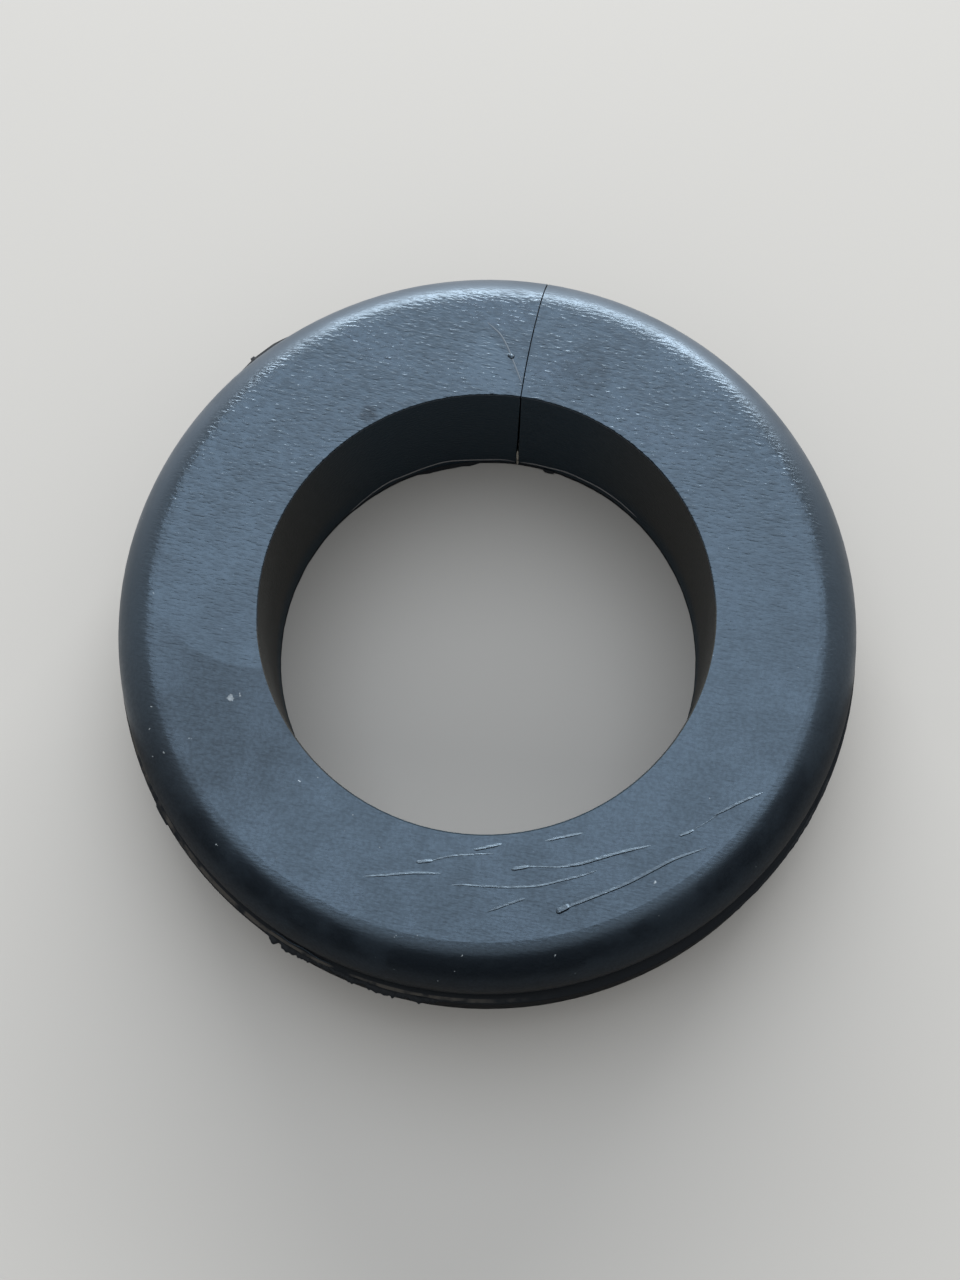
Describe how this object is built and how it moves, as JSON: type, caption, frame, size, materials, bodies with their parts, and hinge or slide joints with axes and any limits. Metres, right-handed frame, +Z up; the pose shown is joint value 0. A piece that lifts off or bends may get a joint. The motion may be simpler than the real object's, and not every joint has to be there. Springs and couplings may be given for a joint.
{
  "type": "rubber grommet",
  "caption": "Split ring grommet of black rubber with a wide bore, a rounded upper flange, a narrow panel groove and a lower flange.",
  "frame": {"origin": "middle of the underside, on the bore's axis", "axes": "+Z up along the bore, towards the rounded upper flange; the slit lies about 77 degrees round from +X towards +Y"},
  "size_m": [0.084, 0.084, 0.0215],
  "materials": {
    "rubber": "moulded black rubber with a soft satin bloom"
  },
  "bodies": {
    "root": {"grommet": "rubber"}
  },
  "joints": []
}
